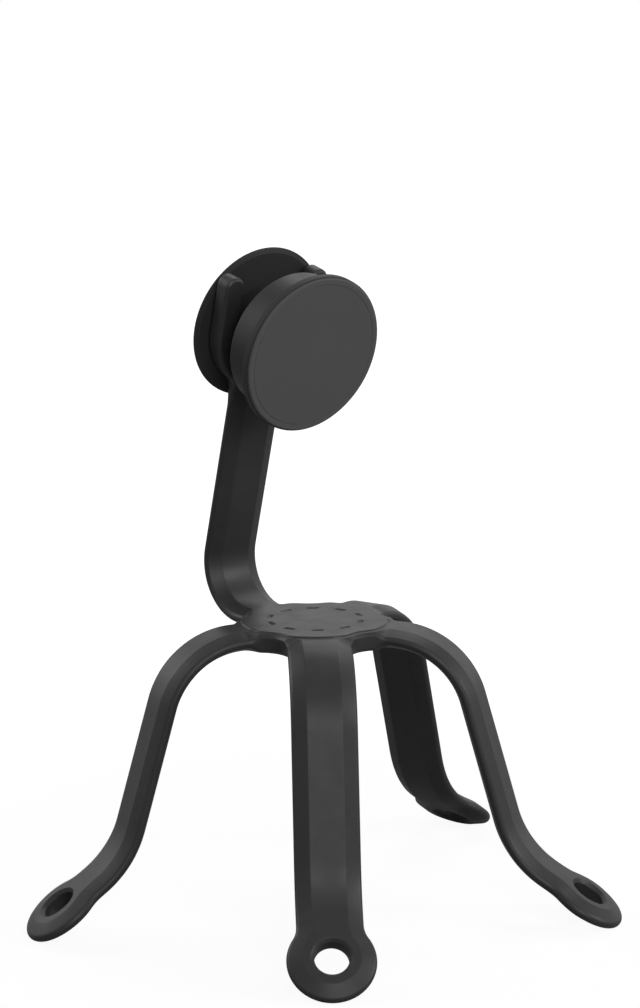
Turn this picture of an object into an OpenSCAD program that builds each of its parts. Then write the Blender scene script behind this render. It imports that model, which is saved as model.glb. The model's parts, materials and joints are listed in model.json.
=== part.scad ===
// Bendable five-arm phone mount: a soft skin over metal wires.
// Four arms are legs that end in eyelet feet. The fifth is a neck that carries
// a forked cradle, and the cradle holds a collapsible finger grip.
// Z is up, the feet stand on Z = 0 and the neck rises on the +Y side. Millimetres.

/* [Stance] */
// Height of the hub's raised field above the table
hub_h = 69.5; // [62:0.5:86]
// Slope of the left foot below level, in degrees
left_foot_slope = 36; // [20:1:45]
// Slope of the right foot below level, in degrees
right_foot_slope = 33; // [20:1:45]
// Slope of the front left foot below level, in degrees
front_left_foot_slope = 42; // [20:1:45]
// Slope of the front right foot below level, in degrees
front_right_foot_slope = 32; // [20:1:45]
// How far the neck leans back over the hub, in degrees
neck_lean = 15; // [0:1:30]

/* [Arms] */
// Width of every arm
arm_w = 15; // [14:0.5:17]
// Thickness of every arm
arm_t = 4.5; // [4.2:0.1:6]
// Width of the flat band along the middle of an arm
band_w = 8; // [6.5:0.5:10]
// Radius of an arm's rounded side edges
edge_r = 1.2; // [0.8:0.1:1.5]

/* [Legs] */
// Radius of the bend where a leg leaves the hub, along its middle
hip_r = 19.5; // [15:0.5:23]
// Length of a leg's straight stretch
shank_l = 29; // [20:1:36]
// Radius of the bend above a foot, along its middle
ankle_r = 24; // [20:1:34]
// Straight length from the ankle bend to the middle of the eyelet
foot_l = 10; // [10:0.5:16]

/* [Feet] */
// Outer radius of a foot's round end
foot_r = 10; // [9.6:0.1:12]
// Radius of the eyelet hole
eyelet_r = 3.9; // [3:0.1:4.3]
// Width of the bevel round the eyelet hole
eyelet_bevel = 0.8; // [0.4:0.1:1]
// Radius of the hollow curve that widens an arm into its foot
flare_r = 6; // [5:0.5:8]

/* [Hub] */
// Radius of the hollow curve between two arms
web_r = 6.5; // [5:0.5:8]
// Width of the bevel along the hub's hollow edges
web_bevel = 0.7; // [0.4:0.1:1]
// Width of the slope round the hub's rim
hub_slope_w = 1.4; // [1:0.1:1.6]
// Height of the raised field on the hub
field_h = 0.4; // [0.2:0.1:0.8]
// Distance from the hub's edge to the raised field
field_margin = 1.9; // [1.8:0.1:2.5]
// Number of dimples in the ring on the hub
dimple_count = 10; // [6:1:12]
// Radius of the ring of dimples
dimple_ring_r = 11; // [9:0.5:12.5]
// Length of a dimple along the ring
dimple_l = 3.4; // [2.5:0.1:4]
// Width of a dimple
dimple_w = 1.5; // [1:0.1:2]
// Depth of a dimple
dimple_d = 0.35; // [0.2:0.05:0.4]
// Radius of the anchor plate inside the hub
anchor_r = 14; // [12.5:0.5:15]
// Thickness of the anchor plate
anchor_t = 2.8; // [2.6:0.1:3]

/* [Wires] */
// Radius of a wire
wire_r = 0.9; // [0.6:0.05:1]
// Distance of each wire from the middle of its arm
wire_offset = 4.2; // [3.5:0.1:4.5]
// Depth that the wires reach into a foot
foot_seat = 5; // [3:0.5:6]
// Distance from the hub's axis to the wires' ends
wire_start = 8; // [7.6:0.1:9]

/* [Neck] */
// Distance from the hub's edge to the start of the neck's bend
neck_straight = 1.5; // [0.5:0.5:6]
// Radius of the bend where the neck leaves the hub, along its middle
neck_r = 12; // [11:0.5:18]
// Length of the neck's straight stretch above that bend
neck_l = 24; // [14:1:34]
// Length of the bendable stretch below the cradle
head_flex_l = 14; // [10:1:20]
// Depth that the wires reach into the cradle
cradle_seat = 4; // [2:0.5:5]

/* [Cradle] */
// Outer radius of the cradle's round part, and half its width
cradle_r = 15; // [14:0.25:16.5]
// Radius of the cradle's slot, and half its width
slot_r = 9.8; // [9.2:0.1:10.4]
// Height of the prong tips above the grip's axis
prong_h = 13.8; // [10:0.2:18]
// Distance from the grip's axis down to the cradle's root
cradle_root = 19; // [18:0.5:26]
// Radius of the hollow curve between the cradle and the neck
cradle_fillet_r = 4; // [3:0.5:5]
// Width of the bevel along the cradle's edges
cradle_bevel = 0.6; // [0.3:0.1:1]

/* [Grip] */
// Radius of the grip's base
base_r = 18.5; // [17.8:0.1:20]
// Thickness of the grip's base
base_t = 1.2; // [1:0.1:1.8]
// Width of the slope round the base's edge
base_bevel = 1.2; // [0.6:0.1:2]
// Radius of the adhesive pad
pad_r = 17.4; // [14:0.1:17.6]
// Thickness of the adhesive pad
pad_t = 0.5; // [0.3:0.1:1]
// Distance from the pad's free face to the button's front face
grip_h = 23; // [21:0.1:26]
// Radius of the grip's button
button_r = 19.1; // [18.4:0.1:21]
// Thickness of the grip's button
button_t = 2.8; // [2.2:0.1:3.2]
// Width of the bevel round the button's edge
button_bevel = 0.6; // [0.3:0.1:0.9]
// Width of the button's rim round its face insert
rim_w = 1.8; // [1.2:0.1:2.2]
// Thickness of the button's face insert
face_t = 0.9; // [0.6:0.1:1.2]
// Thickness of the collar's wall
collar_wall = 1.6; // [1.2:0.1:2]
// Thickness of the collar's flange above the cradle
flange_t = 0.9; // [0.7:0.1:1.2]
// Width that the flange stands out over the cradle
flange_w = 1.5; // [1:0.1:2]
// Thickness of the bellows' wall
bellows_wall = 0.8; // [0.6:0.1:1]
// Radius of the middle fold of the bellows
fold_r = 13.4; // [12.4:0.2:14.4]
// Radius of the outer fold of the bellows
bellows_r = 16.6; // [15.8:0.2:17]
// Height of each sloping fold of the bellows
fold_slope = 1.5; // [1:0.1:2]
// Height of the upright wall between two folds
fold_rise = 2; // [1.5:0.1:2.5]

/* [Clearances] */
// Gap between a wire and its channel
wire_gap = 0.06; // [0.03:0.01:0.1]
// Gap between the collar and the cradle's slot
slot_gap = 0.4; // [0.2:0.05:0.6]
// Gap above and below the cradle, to the grip's base and flange
cradle_gap = 0.3; // [0.2:0.05:0.6]
// Gap between the collar's spigot and the base's socket
spigot_gap = 0.06; // [0.03:0.01:0.1]
// Gap round a piece that lies in a recess
seat_gap = 0.04; // [0.02:0.01:0.1]

/* [Hidden] */

$fn = 96;
channel_fn = 32;
wire_sides = 10;
wire_step = 6;
skin_color = [0.17, 0.17, 0.18];
bend_color = [0.21, 0.21, 0.22];
plastic_color = [0.13, 0.13, 0.14];
wire_color = [0.72, 0.72, 0.74];
pad_color = [0.85, 0.85, 0.86];

arm_count = 5;
arm_step = 360 / arm_count;
neck_az = 90;
left_az = neck_az + arm_step;
front_left_az = neck_az + 2 * arm_step;
front_right_az = neck_az + 3 * arm_step;
right_az = neck_az + 4 * arm_step;
half_t = arm_t / 2;
arm_z = hub_h - field_h - half_t;
shoulder_w = (arm_w - band_w) / 2;

// The web between two arms: a circle on their bisector, tangent to both sides
web_dist = (arm_w / 2 + web_r) / sin(arm_step / 2);
hub_edge = web_dist * cos(arm_step / 2);
neck_start = hub_edge + neck_straight;

// A foot's flare: a circle tangent to the arm's side that just bites into the round end
flare_bite = 0.05;
flare_y = arm_w / 2 + flare_r;
flare_x = sqrt(pow(foot_r + flare_r - flare_bite, 2) - pow(flare_y, 2));

// The cradle's fillet: a circle tangent to the neck's side and the cradle's outside
fillet_x = arm_w / 2 + cradle_fillet_r;
fillet_y = sqrt(pow(cradle_r + cradle_fillet_r, 2) - pow(fillet_x, 2));
prong_w = cradle_r - slot_r;
prong_mid_r = slot_r + prong_w / 2;

// Heights along the grip's axis, from the pad's free face
base_top = pad_t + base_t;
cradle_low = base_top + cradle_gap;
cradle_mid = cradle_low + half_t;
flange_low = cradle_low + arm_t + cradle_gap;
collar_top = flange_low + flange_t;
button_back = grip_h - button_t;
collar_r = slot_r - slot_gap;
bore_r = collar_r - collar_wall;
spigot_r = collar_r - collar_wall / 2;
face_r = button_r - rim_w;

// How far a foot's lowest point lies below the middle of its eyelet
function foot_drop(slope) = max(
  (foot_r - edge_r) * sin(slope) + edge_r,
  (foot_r - shoulder_w) * sin(slope) + half_t * cos(slope)
);

// How far a leg with this hip bend reaches below the hub's middle plane
function leg_drop(hip, slope) =
  hip_r * (1 - cos(hip)) + shank_l * sin(hip) + ankle_r * (cos(slope) - cos(hip))
  + foot_l * sin(slope) + foot_drop(slope);

// The hip bend that sets a foot on the table, found by halving an interval
function settle(slope, low = 20, high = 100, n = 30) =
  n == 0
    ? (low + high) / 2
    : leg_drop((low + high) / 2, slope) < arm_z
      ? settle(slope, (low + high) / 2, high, n - 1)
      : settle(slope, low, (low + high) / 2, n - 1);

// An arm's stretches from the hub's axis: lines by length, bends by radius and turn
function leg_run(slope) = [
  ["line", hub_edge],
  ["bend", hip_r, -settle(slope)],
  ["line", shank_l],
  ["bend", ankle_r, settle(slope) - slope],
  ["line", foot_l]
];
neck_run = [
  ["line", neck_start],
  ["bend", neck_r, 90 + neck_lean],
  ["line", neck_l],
  ["line", head_flex_l],
  ["line", cradle_root]
];

// The hub's place: its axis stands so that the feet and the neck reach equally far
// to both sides of the origin, and its height is that of the arms' middle plane
hub_place = [
  (foot_edge(left_foot_slope, 90 - arm_step) - foot_edge(right_foot_slope, 90 - arm_step)) / 2,
  (max(
    foot_edge(front_left_foot_slope, arm_step / 2),
    foot_edge(front_right_foot_slope, arm_step / 2)
  ) - neck_start - neck_r - half_t) / 2,
  arm_z
];

// How far a foot reaches from the hub's axis, seen this many degrees off its leg
function foot_edge(slope, off) =
  reached(leg_run(slope), 5)[0] * cos(off) + foot_r * norm([cos(slope) * cos(off), sin(off)]);

// The direction of a run where its stretch n starts
function turned(run, n) =
  n == 0 ? 0 : turned(run, n - 1) + (run[n - 1][0] == "bend" ? run[n - 1][2] : 0);

// The way along a share of one stretch that starts in a direction
function along(s, from, share = 1) =
  s[0] == "line"
    ? share * s[1] * [cos(from), sin(from)]
    : let (to = from + share * s[2])
      sign(s[2]) * s[1] * [sin(to) - sin(from), cos(from) - cos(to)];

// The place in the arm's own plane where stretch n of a run starts
function reached(run, n) =
  n == 0 ? [0, 0] : reached(run, n - 1) + along(run[n - 1], turned(run, n - 1));

// A wire's rings as [place, direction]: its start, the steps of its bends, and its end
function wire_rings(run, last, seat) = concat(
  [[[wire_start, 0], 0]],
  [
    for (n = [0 : last - 1])
      if (run[n][0] == "bend")
        let (from = turned(run, n), steps = ceil(abs(run[n][2]) / wire_step))
          for (i = [0 : steps])
            [reached(run, n) + along(run[n], from, i / steps), from + run[n][2] * i / steps]
  ],
  [[reached(run, last) + along(["line", seat], turned(run, last)), turned(run, last)]]
);

// The corners of one ring of a wire, in the arm's own plane
function ring_points(ring, side) = [
  for (k = [0 : wire_sides - 1])
    let (a = 360 * k / wire_sides, up = wire_r * cos(a))
      [
        ring[0][0] - up * sin(ring[1]),
        ring[0][1] + up * cos(ring[1]),
        side * wire_offset + wire_r * sin(a)
      ]
];

// The rounded side edge, as [thickness, distance out from the arm's edge] points.
// It starts where the shoulder's slope is tangent to it.
edge_steps = 6;
slope_run = [half_t, edge_r - shoulder_w];
edge_start = atan2(slope_run[1], slope_run[0]) + acos(edge_r / norm(slope_run));
edge_points = [
  for (i = [0 : edge_steps])
    let (a = edge_start + (180 - 2 * edge_start) * i / edge_steps)
    [edge_r * cos(a), edge_r * sin(a) - edge_r]
];

// An arm's section: its thickness along x, its width along y
module arm_section() {
  side = [for (p = edge_points) [p[0], p[1] + arm_w / 2]];
  polygon(concat(
    [[half_t, band_w / 2]], side, [[-half_t, band_w / 2]],
    [[-half_t, -band_w / 2]], [for (p = side) [-p[0], -p[1]]], [[half_t, -band_w / 2]]
  ));
}

// The two channels for an arm's wires, in section
module channel_pair() {
  for (side = [-1, 1])
    translate([0, side * wire_offset])
      circle(r = wire_r + wire_gap, $fn = channel_fn);
}

module channelled_section() {
  difference() {
    arm_section();
    channel_pair();
  }
}

// Sweeps a section along one stretch. Travel is +x and the arm's upper face is +y.
module stretch(s) {
  if (s[0] == "line")
    rotate([90, 0, 90])
      linear_extrude(s[1])
        children();
  else if (s[2] < 0)
    translate([0, -s[1], 0])
      rotate([0, 0, 90 + s[2]])
        rotate_extrude(angle = -s[2])
          translate([s[1], 0])
            children();
  else
    translate([0, s[1], 0])
      rotate([0, 0, -90])
        rotate_extrude(angle = s[2])
          translate([s[1], 0])
            mirror([1, 0])
              children();
}

// Carries its children to the start of stretch n of a run
module at_stretch(run, n) {
  translate(reached(run, n))
    rotate(turned(run, n))
      children();
}

// Stands an arm's own plane upright at its place round the hub
module arm_plane(az) {
  translate(hub_place)
    rotate([0, 0, az])
      rotate([90, 0, 0])
        children();
}

// Straight channels between two distances along an arm
module channels(from, to) {
  translate([from, 0, 0])
    stretch(["line", to - from])
      channel_pair();
}

module round_the_webs() {
  for (i = [0 : arm_count - 1])
    rotate(neck_az + arm_step * (i + 0.5))
      translate([web_dist, 0, 0])
        children();
}

// Cuts a hollow edge with a bevel along both faces
module hollow_cutter(r, bevel) {
  rotate_extrude()
    polygon([
      [0, arm_t], [r + bevel, arm_t], [r + bevel, half_t], [r, half_t - bevel],
      [r, bevel - half_t], [r + bevel, -half_t], [r + bevel, -arm_t], [0, -arm_t]
    ]);
}

// The hub's disc, sloped at its rim down to the arms' side edges
module hub_disc() {
  flat_r = hub_edge - hub_slope_w;
  rotate_extrude()
    polygon([
      [0, half_t], [flat_r, half_t], [hub_edge, edge_r],
      [hub_edge, -edge_r], [flat_r, -half_t], [0, -half_t]
    ]);
}

module raised_field() {
  linear_extrude(half_t + field_h)
    difference() {
      circle(r = hub_edge - field_margin);
      round_the_webs()
        circle(r = web_r + field_margin);
    }
}

module dimple() {
  linear_extrude(field_h + half_t) {
    square([dimple_w, dimple_l - dimple_w], center = true);
    for (side = [-1, 1])
      translate([0, side * (dimple_l - dimple_w) / 2])
        circle(d = dimple_w, $fn = 24);
  }
}

module hub_skin() {
  color(skin_color)
    difference() {
      union() {
        translate(hub_place) {
          difference() {
            hub_disc();
            round_the_webs()
              hollow_cutter(web_r, web_bevel);
          }
          raised_field();
        }
        for (az = [left_az, right_az, front_left_az, front_right_az])
          arm_plane(az)
            stretch(["line", hub_edge])
              arm_section();
        arm_plane(neck_az)
          stretch(["line", neck_start])
            arm_section();
      }
      translate(hub_place) {
        cylinder(r = anchor_r + seat_gap, h = anchor_t + 2 * seat_gap, center = true);
        for (i = [0 : dimple_count - 1])
          rotate(360 / dimple_count * (i + 0.5))
            translate([dimple_ring_r, 0, half_t + field_h - dimple_d])
              dimple();
      }
      for (i = [0 : arm_count - 1])
        arm_plane(neck_az + arm_step * i)
          channels(anchor_r - 2, neck_start + 1);
    }
}

module hub_anchor() {
  color(plastic_color)
    difference() {
      translate(hub_place)
        cylinder(r = anchor_r, h = anchor_t, center = true);
      for (i = [0 : arm_count - 1])
        arm_plane(neck_az + arm_step * i)
          channels(wire_start - wire_gap, anchor_r + 1);
    }
}

// One stretch of a leg's skin, with its two wire channels
module leg_stretch(az, slope, n) {
  run = leg_run(slope);
  arm_plane(az)
    at_stretch(run, n)
      stretch(run[n])
        channelled_section();
}

module leg_hip(az, slope) {
  color(bend_color)
    leg_stretch(az, slope, 1);
}

module leg_shank(az, slope) {
  color(skin_color)
    leg_stretch(az, slope, 2);
}

module leg_ankle(az, slope) {
  color(bend_color)
    leg_stretch(az, slope, 3);
}

// Cuts a hollow edge whose waist is the outside of an arm's rounded side edge
module flare_cutter() {
  rotate_extrude()
    polygon(concat(
      [[0, arm_t], [flare_r + shoulder_w, arm_t], [flare_r + shoulder_w, half_t]],
      [for (p = edge_points) [flare_r - p[1], p[0]]],
      [[flare_r + shoulder_w, -half_t], [flare_r + shoulder_w, -arm_t], [0, -arm_t]]
    ));
}

// The widening between an arm's sides and a foot's round end, in the foot's plan
module foot_flare() {
  difference() {
    linear_extrude(arm_t, center = true)
      polygon([[0, 0], [-flare_x, flare_y], [-flare_x, -flare_y]]);
    for (side = [-1, 1])
      translate([-flare_x, side * flare_y, 0])
        flare_cutter();
  }
}

module foot_end() {
  rotate_extrude()
    polygon(concat(
      [[0, half_t], [foot_r - shoulder_w, half_t]],
      [for (p = edge_points) [foot_r + p[1], p[0]]],
      [[foot_r - shoulder_w, -half_t], [0, -half_t]]
    ));
}

// The eyelet's hole with a bevel at both faces
module eyelet() {
  reach = eyelet_bevel + half_t;
  rotate_extrude()
    polygon([
      [0, arm_t], [eyelet_r + reach, arm_t], [eyelet_r, half_t - eyelet_bevel],
      [eyelet_r, eyelet_bevel - half_t], [eyelet_r + reach, -arm_t], [0, -arm_t]
    ]);
}

// Lays a plan about the eyelet's middle into the arm's own plane
module foot_plan() {
  translate([foot_l, 0, 0])
    rotate([90, 0, 0])
      children();
}

module leg_foot(az, slope) {
  color(skin_color)
    arm_plane(az)
      at_stretch(leg_run(slope), 4)
        difference() {
          union() {
            stretch(["line", foot_l - flare_x])
              arm_section();
            foot_plan() {
              foot_flare();
              foot_end();
            }
          }
          foot_plan()
            eyelet();
          channels(-1, foot_seat + wire_gap);
        }
}

// One wire, swept along its rings
module wire(rings, side) {
  m = wire_sides;
  count = len(rings);
  polyhedron(
    points = [for (ring = rings) each ring_points(ring, side)],
    faces = concat(
      [[for (k = [0 : m - 1]) k]],
      [
        for (i = [0 : count - 2], k = [0 : m - 1])
          [i * m + k, (i + 1) * m + k, (i + 1) * m + (k + 1) % m, i * m + (k + 1) % m]
      ],
      [[for (k = [m - 1 : -1 : 0]) (count - 1) * m + k]]
    )
  );
}

// An arm's two wires, from the anchor to a depth in stretch number last
module arm_wires(az, run, last, seat) {
  color(wire_color)
    arm_plane(az)
      for (side = [-1, 1])
        wire(wire_rings(run, last, seat), side);
}

module leg_wires(az, slope) {
  arm_wires(az, leg_run(slope), 4, foot_seat);
}

module neck_stretch(n) {
  arm_plane(neck_az)
    at_stretch(neck_run, n)
      stretch(neck_run[n])
        channelled_section();
}

module neck_root() {
  color(bend_color)
    neck_stretch(1);
}

module neck_stem() {
  color(skin_color)
    neck_stretch(2);
}

module neck_head() {
  color(bend_color)
    neck_stretch(3);
}

module neck_wires() {
  arm_wires(neck_az, neck_run, 2, neck_l + head_flex_l + cradle_seat);
}

// The grip's own frame: its axis is +z from the pad's free face, up the neck is +y
module grip_frame() {
  arm_plane(neck_az)
    at_stretch(neck_run, 5)
      translate([0, -cradle_mid, 0])
        rotate([-90, 0, 0])
          rotate([0, 0, -90])
            children();
}

// Half of a prong's section, from its middle out
prong_half = [
  [0, half_t], [prong_w / 2 - cradle_bevel, half_t], [prong_w / 2, half_t - cradle_bevel],
  [prong_w / 2, cradle_bevel - half_t], [prong_w / 2 - cradle_bevel, -half_t], [0, -half_t]
];

module prong_section() {
  polygon(prong_half);
  mirror([1, 0])
    polygon(prong_half);
}

module prongs() {
  tip_y = prong_h - prong_w / 2;
  for (side = [-1, 1])
    translate([side * prong_mid_r, 0, 0]) {
      rotate([90, 0, 180])
        linear_extrude(tip_y)
          prong_section();
      translate([0, tip_y, 0])
        rotate_extrude(angle = 180)
          polygon(prong_half);
    }
}

// The solid that carries the fork's round part on the neck
module cradle_web() {
  difference() {
    linear_extrude(arm_t, center = true)
      polygon([[0, 0], [fillet_x, -fillet_y], [-fillet_x, -fillet_y]]);
    for (side = [-1, 1])
      translate([side * fillet_x, -fillet_y, 0])
        hollow_cutter(cradle_fillet_r, cradle_bevel);
    cylinder(r = prong_mid_r, h = 2 * arm_t, center = true);
  }
}

module cradle() {
  color(plastic_color)
    difference() {
      union() {
        grip_frame()
          translate([0, 0, cradle_mid]) {
            rotate([0, 0, 180])
              rotate_extrude(angle = 180)
                translate([prong_mid_r, 0])
                  prong_section();
            prongs();
            cradle_web();
          }
        arm_plane(neck_az)
          at_stretch(neck_run, 4)
            stretch(["line", cradle_root - prong_mid_r])
              arm_section();
      }
      arm_plane(neck_az)
        at_stretch(neck_run, 4)
          channels(-1, cradle_seat + wire_gap);
    }
}

module grip_pad() {
  color(pad_color)
    grip_frame()
      cylinder(r = pad_r, h = pad_t);
}

module grip_base() {
  step = base_t / 3;
  color(plastic_color)
    grip_frame()
      translate([0, 0, pad_t])
        rotate_extrude()
          polygon([
            [spigot_r + spigot_gap, 0], [base_r - step, 0], [base_r, step],
            [base_r, 2 * step], [base_r - base_bevel, base_t], [spigot_r + spigot_gap, base_t]
          ]);
}

// The collar turns in the base, slides in the cradle and carries the bellows
module grip_collar() {
  color(plastic_color)
    grip_frame()
      rotate_extrude()
        polygon([
          [bore_r, pad_t + seat_gap], [spigot_r, pad_t + seat_gap],
          [spigot_r, base_top + seat_gap], [collar_r, base_top + seat_gap],
          [collar_r, flange_low], [collar_r + flange_w, flange_low],
          [collar_r + flange_w, collar_top], [bore_r, collar_top]
        ]);
}

module grip_bellows() {
  low = collar_top;
  fold_low = low + fold_slope;
  fold_high = fold_low + fold_rise;
  brim_low = fold_high + fold_slope;
  w = bellows_wall;
  color(bend_color)
    grip_frame()
      rotate_extrude()
        polygon([
          [bore_r, low], [collar_r, low], [fold_r, fold_low], [fold_r, fold_high],
          [bellows_r, brim_low], [bellows_r, button_back],
          [bellows_r - w, button_back], [bellows_r - w, brim_low + w],
          [fold_r - w, fold_high + w], [fold_r - w, fold_low + w],
          [collar_r - w, low + w], [bore_r, low + w]
        ]);
}

module grip_button() {
  ring_r = bellows_r - bellows_wall - seat_gap;
  b = button_bevel;
  floor_z = grip_h - face_t - seat_gap;
  color(plastic_color)
    grip_frame() {
      rotate_extrude()
        polygon([
          [0, button_back], [button_r - b, button_back], [button_r, button_back + b],
          [button_r, grip_h - b], [button_r - b, grip_h], [face_r, grip_h],
          [face_r, floor_z], [0, floor_z]
        ]);
      translate([0, 0, button_back - bellows_wall])
        rotate_extrude()
          translate([ring_r - bellows_wall, 0])
            square(bellows_wall);
    }
}

module grip_face() {
  color(skin_color)
    grip_frame()
      translate([0, 0, grip_h - face_t])
        cylinder(r = face_r - seat_gap, h = face_t);
}

module left_hip() { leg_hip(left_az, left_foot_slope); }
module left_shank() { leg_shank(left_az, left_foot_slope); }
module left_ankle() { leg_ankle(left_az, left_foot_slope); }
module left_foot() { leg_foot(left_az, left_foot_slope); }
module left_wires() { leg_wires(left_az, left_foot_slope); }

module right_hip() { leg_hip(right_az, right_foot_slope); }
module right_shank() { leg_shank(right_az, right_foot_slope); }
module right_ankle() { leg_ankle(right_az, right_foot_slope); }
module right_foot() { leg_foot(right_az, right_foot_slope); }
module right_wires() { leg_wires(right_az, right_foot_slope); }

module front_left_hip() { leg_hip(front_left_az, front_left_foot_slope); }
module front_left_shank() { leg_shank(front_left_az, front_left_foot_slope); }
module front_left_ankle() { leg_ankle(front_left_az, front_left_foot_slope); }
module front_left_foot() { leg_foot(front_left_az, front_left_foot_slope); }
module front_left_wires() { leg_wires(front_left_az, front_left_foot_slope); }

module front_right_hip() { leg_hip(front_right_az, front_right_foot_slope); }
module front_right_shank() { leg_shank(front_right_az, front_right_foot_slope); }
module front_right_ankle() { leg_ankle(front_right_az, front_right_foot_slope); }
module front_right_foot() { leg_foot(front_right_az, front_right_foot_slope); }
module front_right_wires() { leg_wires(front_right_az, front_right_foot_slope); }

hub_skin();
hub_anchor();
left_hip();
left_shank();
left_ankle();
left_foot();
left_wires();
right_hip();
right_shank();
right_ankle();
right_foot();
right_wires();
front_left_hip();
front_left_shank();
front_left_ankle();
front_left_foot();
front_left_wires();
front_right_hip();
front_right_shank();
front_right_ankle();
front_right_foot();
front_right_wires();
neck_root();
neck_stem();
neck_head();
neck_wires();
cradle();
grip_collar();
grip_base();
grip_pad();
grip_bellows();
grip_button();
grip_face();
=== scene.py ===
# %% [markdown]
# # A bendable mount on four legs
# The real thing is one soft silicone moulding over metal wires: a small hub, four legs
# that end in eyelets, and a neck that ends in a fork. The fork holds a collapsible grip.
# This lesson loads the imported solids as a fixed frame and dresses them. Each piece is
# built from the sizes that a mould maker would use, in millimetres, so that the
# finished surface lies where the solid lies.

# %% Load the frame
import json
import math

import bmesh
import bpy
from mathutils import Matrix, Vector


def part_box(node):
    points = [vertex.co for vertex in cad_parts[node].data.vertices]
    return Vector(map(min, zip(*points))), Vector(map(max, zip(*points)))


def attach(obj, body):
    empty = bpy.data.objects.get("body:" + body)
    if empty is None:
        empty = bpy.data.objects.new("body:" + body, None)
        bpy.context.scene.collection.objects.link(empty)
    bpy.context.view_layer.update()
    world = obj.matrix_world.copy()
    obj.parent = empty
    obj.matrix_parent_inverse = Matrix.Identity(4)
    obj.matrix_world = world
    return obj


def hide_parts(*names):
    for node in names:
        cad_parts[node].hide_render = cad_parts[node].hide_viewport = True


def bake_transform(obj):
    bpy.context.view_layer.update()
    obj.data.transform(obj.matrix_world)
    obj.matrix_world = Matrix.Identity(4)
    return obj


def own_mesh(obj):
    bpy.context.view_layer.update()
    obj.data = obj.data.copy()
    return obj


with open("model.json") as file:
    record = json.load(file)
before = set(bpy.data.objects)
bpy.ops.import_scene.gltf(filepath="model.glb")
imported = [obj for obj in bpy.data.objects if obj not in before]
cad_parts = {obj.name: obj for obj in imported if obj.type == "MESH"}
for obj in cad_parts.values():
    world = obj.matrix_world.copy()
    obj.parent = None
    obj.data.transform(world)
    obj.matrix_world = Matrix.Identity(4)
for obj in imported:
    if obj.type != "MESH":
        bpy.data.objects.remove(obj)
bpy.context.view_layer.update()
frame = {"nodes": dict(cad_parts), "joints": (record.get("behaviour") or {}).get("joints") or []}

print("solids in the frame:", len(frame["nodes"]))

# %% [markdown]
# ## Sizes and places
# The arms share one section: a flat band along the middle, a sloping shoulder on each
# side and a round edge. The sizes below are those of the moulding. The hub's place is
# the middle of the anchor plate inside it, which the frame gives.

# %% Sizes in millimetres
MM = 0.001
arm_w, arm_t, band_w, edge_r = 15, 4.5, 8, 1.2
hip_r, shank_l, ankle_r, foot_l = 19.5, 29, 24, 10
foot_r, eyelet_r, eyelet_bevel, flare_r = 10, 3.9, 0.8, 6
web_r, web_bevel, field_h, field_margin, rim_margin = 6.5, 0.7, 0.4, 1.3, 1.9
dimple_count, dimple_ring_r, dimple_l, dimple_w, dimple_d = 10, 11, 3.4, 1.5, 0.35
neck_straight, neck_r, neck_l, head_flex_l, neck_lean = 1.5, 12, 24, 14, 15
cradle_root, cradle_r, slot_r, prong_h = 19, 15, 9.8, 13.8
cradle_fillet_r, cradle_bevel = 4, 0.6
wire_r, wire_offset, wire_start, foot_seat, cradle_seat = 0.9, 4.2, 8, 5, 4
leg_slopes = {"left": 36, "right": 33, "front_left": 42, "front_right": 32}

arm_step = 72
arm_azimuths = {
    "neck": 90,
    "left": 90 + arm_step,
    "front_left": 90 + 2 * arm_step,
    "front_right": 90 + 3 * arm_step,
    "right": 90 + 4 * arm_step,
}
arm_count = len(arm_azimuths)
half_t = arm_t / 2
half_w = arm_w / 2
shoulder_w = (arm_w - band_w) / 2


def sin(degrees):
    return math.sin(math.radians(degrees))


def cos(degrees):
    return math.cos(math.radians(degrees))


def middle(node):
    """The middle of a solid's box, in millimetres."""
    low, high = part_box(node)
    return (low + high) / (2 * MM)


hub_place = middle("hub_anchor")
web_dist = (half_w + web_r) / sin(arm_step / 2)
hub_edge = web_dist * cos(arm_step / 2)
print("hub at", [round(v, 2) for v in hub_place], "with its edge at", round(hub_edge, 2))

# %% [markdown]
# ## The route of an arm
# An arm lies in one upright plane, and its middle line is a chain of straight and bent
# stretches. Writing the route as pairs of size and turn keeps a leg to five pairs. The
# bend at the hip is read back from the hinge in the frame, which stands in the middle of
# that bend: this way the skin always fits the solids.

# %% Routes
hinges = {joint["name"]: joint for joint in frame["joints"]}


def station(run, n, share=0.0):
    """Place and heading in the arm's plane at a share of stretch n of a run."""
    x = y = heading = 0.0
    for i, (size, turn) in enumerate(run[: n + 1]):
        part = share if i == n else 1.0
        if turn:
            radius = math.copysign(size, turn)
            after = heading + part * turn
            x += radius * (sin(after) - sin(heading))
            y += radius * (cos(heading) - cos(after))
            heading = after
        else:
            x += part * size * cos(heading)
            y += part * size * sin(heading)
    return x, y, heading


def moved(place, distance):
    """A station carried straight on along its heading."""
    x, y, heading = place
    return x + distance * cos(heading), y + distance * sin(heading), heading


def on_arm(azimuth, place, side, up):
    """The point beside and above a station of an arm, in metres."""
    x, y, heading = place
    out = x - up * sin(heading)
    rise = y + up * cos(heading)
    across = Vector((-sin(azimuth), cos(azimuth), 0)) * side
    along = Vector((cos(azimuth), sin(azimuth), 0)) * out
    return (hub_place + along + across + Vector((0, 0, rise))) * MM


def leg_run(name):
    hinge = Vector(hinges[name + "_hip_bend"]["pos_m"]) / MM - hub_place
    hip = 2 * math.degrees(math.asin((hinge.to_2d().length - hub_edge) / hip_r))
    slope = leg_slopes[name]
    return [(hub_edge, 0), (hip_r, -hip), (shank_l, 0), (ankle_r, hip - slope), (foot_l, 0)]


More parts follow.
